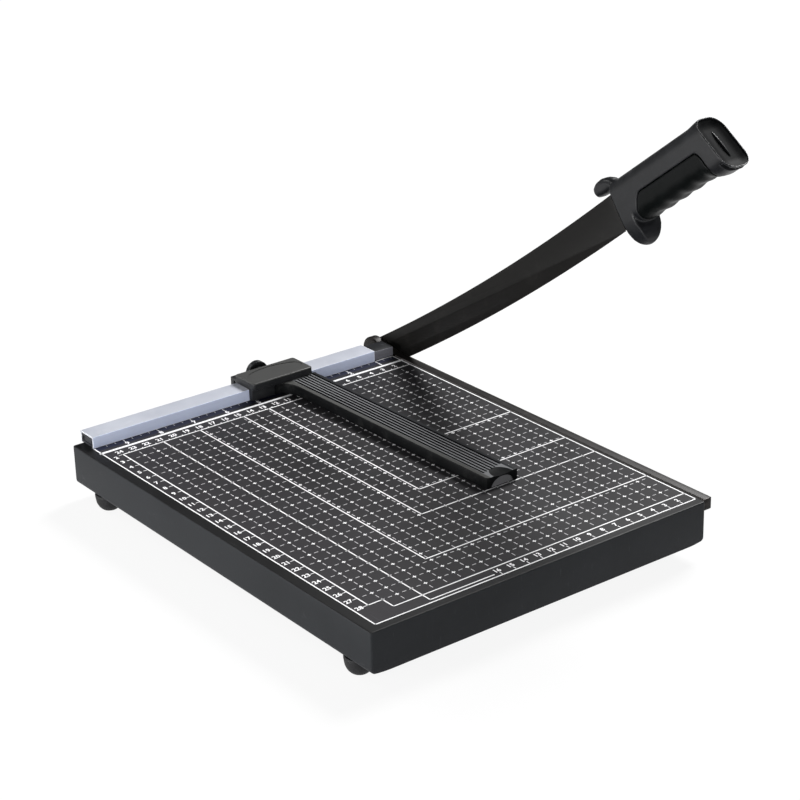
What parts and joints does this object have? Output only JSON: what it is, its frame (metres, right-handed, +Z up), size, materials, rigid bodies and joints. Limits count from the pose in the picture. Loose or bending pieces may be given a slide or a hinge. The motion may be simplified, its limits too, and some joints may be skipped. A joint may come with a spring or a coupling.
{
  "type": "paper cutter",
  "caption": "Desktop guillotine paper cutter: ruled flat tray, rear fence with a sliding clamp guide, and a curved hinged blade with a moulded handle.",
  "frame": {"origin": "on the surface it stands on, under the middle of its overall box with the blade opened as pictured", "axes": "+Z up, +Y to the back where the fence and the pivot are, +X to the right where the blade is"},
  "size_m": [0.278, 0.3458, 0.2629],
  "materials": {
    "tray_paint": "satin, ruled in white",
    "strip_steel": "dark ground steel",
    "blade_paint": "satin black",
    "zinc": "zinc plated",
    "black_steel": "blackened",
    "foot_rubber": "matte",
    "cover_plastic": "satin pale blue grey",
    "bar_plastic": "satin dark grey",
    "guide_plastic": "satin black",
    "brass": "turned",
    "handle_plastic": "satin black",
    "grip_plastic": "smooth black"
  },
  "bodies": {
    "base": {"base_tray": "tray_paint", "fixed_blade": "strip_steel", "fixed_blade_screw_1": "zinc", "fixed_blade_screw_2": "zinc", "fixed_blade_screw_3": "zinc", "fixed_blade_screw_4": "zinc", "fixed_blade_screw_5": "zinc", "foot_front_left": "foot_rubber", "foot_front_right": "foot_rubber", "foot_rear_left": "foot_rubber", "foot_rear_right": "foot_rubber", "fence_bar": "bar_plastic", "fence_cover": "cover_plastic", "fence_end_plug": "bar_plastic", "fence_screw_1": "zinc", "fence_screw_2": "zinc", "fence_screw_3": "zinc", "pivot_bolt": "black_steel", "pivot_washer_inner": "zinc", "pivot_spring_washer_inner": "zinc", "pivot_spring_washer_outer": "zinc", "pivot_washer_outer": "zinc", "pivot_lock_nut": "zinc"},
    "guide": {"guide_head": "guide_plastic", "guide_arm": "guide_plastic", "guide_screw_1": "zinc", "guide_screw_2": "zinc", "clamp_insert": "brass"},
    "clamp": {"clamp_shoe": "guide_plastic"},
    "knob": {"clamp_knob": "guide_plastic", "clamp_screw": "zinc"},
    "blade": {"moving_blade": "blade_paint", "handle_body": "handle_plastic", "handle_grip": "grip_plastic", "handle_end_cap": "handle_plastic", "handle_screw_1": "zinc", "handle_screw_2": "zinc"}
  },
  "joints": [
    {"name": "blade_hinge", "type": "hinge", "parent": "base", "child": "blade", "pos_m": [0.11795, 0.16133, 0.0282], "axis": [-1, 0, 0], "range_deg": [-30.9, 45]},
    {"name": "guide_slide", "type": "slide", "parent": "base", "child": "guide", "axis": [1, 0, 0], "range_m": [-0.118, 0.056]},
    {"name": "clamp_slide", "type": "slide", "parent": "guide", "child": "clamp", "axis": [0, 1, 0], "range_m": [0, 0.0008]},
    {"name": "knob_turn", "type": "hinge", "parent": "clamp", "child": "knob", "pos_m": [0.01265, 0.1598, 0.0435], "axis": [0, 1, 0], "range_deg": [0, 360]}
  ],
  "couplings": [
    {"joint": "clamp_slide", "follows": "knob_turn", "m_per_rad": 0.000127}
  ]
}
